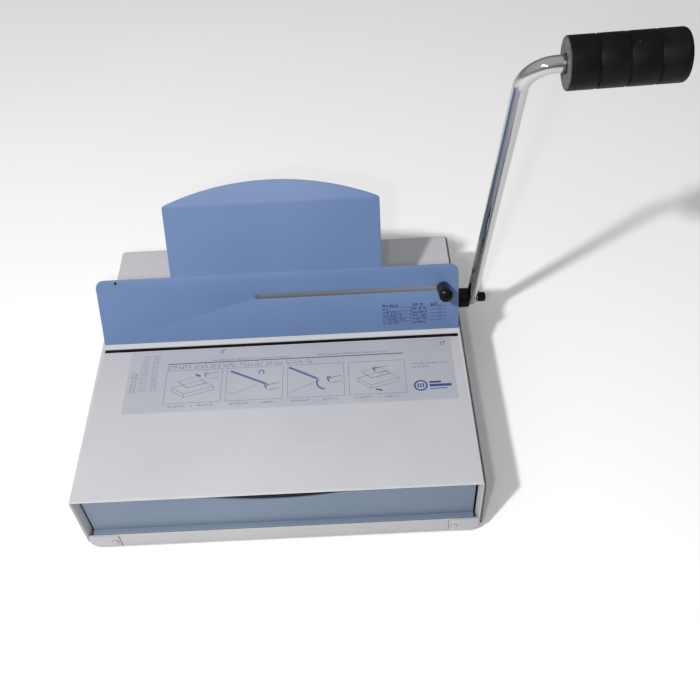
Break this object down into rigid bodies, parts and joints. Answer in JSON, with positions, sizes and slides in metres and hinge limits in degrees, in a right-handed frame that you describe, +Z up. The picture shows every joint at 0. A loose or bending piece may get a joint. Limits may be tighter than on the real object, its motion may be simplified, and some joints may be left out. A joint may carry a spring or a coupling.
{
  "type": "comb binding punch",
  "caption": "Desk punch for plastic comb binding: slit for the sheets, tilted sheet rest with a sliding side stop, side lever with a turning grip, and a front waste drawer.",
  "frame": {"origin": "centre of the flat underside of the case, between the four rubber feet, which reach 5 mm below it", "axes": "+X to the side with the lever, +Y to the back, +Z up"},
  "size_m": [0.48, 0.3174, 0.4024],
  "materials": {
    "grey_paint": "satin light grey powder coat",
    "blue_paint": "satin mid blue powder coat",
    "drawer_blue": "satin greyish blue powder coat",
    "label": "matt laminated grey print",
    "black_plastic": "fine grained black",
    "rubber": "matt black",
    "chrome": "polished plate",
    "steel": "ground",
    "dark_steel": "oiled, blackened",
    "brass": "turned"
  },
  "bodies": {
    "housing": {"base_tray": "grey_paint", "top_cover": "grey_paint", "instruction_label": "label", "foot_front_left": "rubber", "foot_rear_left": "rubber", "foot_front_right": "rubber", "foot_rear_right": "rubber", "cover_screw_left_front": "steel", "cover_screw_left_rear": "steel", "cover_screw_right_front": "steel", "cover_screw_right_rear": "steel", "rear_screw_left": "steel", "rear_screw_right": "steel", "lip_rivet_left": "grey_paint", "lip_rivet_right": "grey_paint", "sheet_rest": "blue_paint", "rest_screw_left": "steel", "rest_screw_middle": "steel", "rest_screw_right": "steel", "die_plate": "steel", "guide_plate": "steel", "edge_stop_bar": "dark_steel", "side_frame_left": "dark_steel", "side_frame_right": "dark_steel", "throat_spacer_left": "steel", "throat_spacer_right": "steel", "die_bolt_left_lower": "dark_steel", "die_bolt_left_upper": "dark_steel", "die_bolt_right_lower": "dark_steel", "die_bolt_right_upper": "dark_steel", "shaft_bush_left": "brass", "shaft_bush_right": "brass", "guide_rod_left": "steel", "guide_rod_right": "steel", "return_spring_left": "steel", "return_spring_right": "steel", "tie_bar": "steel", "stop_pin_raised": "steel", "stop_pin_lowered": "steel", "drawer_runner_left": "dark_steel", "drawer_runner_right": "dark_steel"},
    "lever": {"main_shaft": "steel", "press_cam_left": "dark_steel", "press_cam_right": "dark_steel", "stop_collar": "dark_steel", "shaft_ring": "steel", "lever_hub": "black_plastic", "lever_rod": "chrome", "cap_nut": "black_plastic", "grip_nut": "steel"},
    "grip": {"grip_sleeve": "black_plastic", "grip_end_cap": "black_plastic"},
    "press": {"press_bar": "dark_steel", "punch_set": "steel"},
    "side_stop": {"stop_clamp_nut": "steel"},
    "stop_knob": {"stop_post": "black_plastic"},
    "drawer": {"drawer_front": "drawer_blue", "drawer_tray": "drawer_blue"}
  },
  "joints": [
    {"name": "lever_hinge", "type": "hinge", "parent": "housing", "child": "lever", "pos_m": [0, 0.0923, 0.045], "axis": [1, 0, 0], "range_deg": [0, 68], "stiffness_Nm_per_rad": 1.2, "springref_deg": -34.38},
    {"name": "press_slide", "type": "slide", "parent": "housing", "child": "press", "axis": [0, -1, 0], "range_m": [0, 0.00801], "deforming": ["return_spring_left", "return_spring_right"]},
    {"name": "grip_spin", "type": "hinge", "parent": "lever", "child": "grip", "pos_m": [0.1955, -0.02107, 0.37613], "axis": [0.9994, -0.0113, 0.033], "continuous": true},
    {"name": "side_stop_slide", "type": "slide", "parent": "housing", "child": "side_stop", "axis": [-1, 0, 0], "range_m": [0, 0.175]},
    {"name": "stop_post_turn", "type": "hinge", "parent": "side_stop", "child": "stop_knob", "pos_m": [0.1574, 0.03887, 0.11325], "axis": [0, -0.8926, 0.4509], "range_deg": [0, 180]},
    {"name": "drawer_slide", "type": "slide", "parent": "housing", "child": "drawer", "axis": [0, -1, 0], "range_m": [0, 0.14]}
  ],
  "couplings": [
    {"joint": "press_slide", "follows": "lever_hinge", "m_per_rad": 0.0067407}
  ]
}
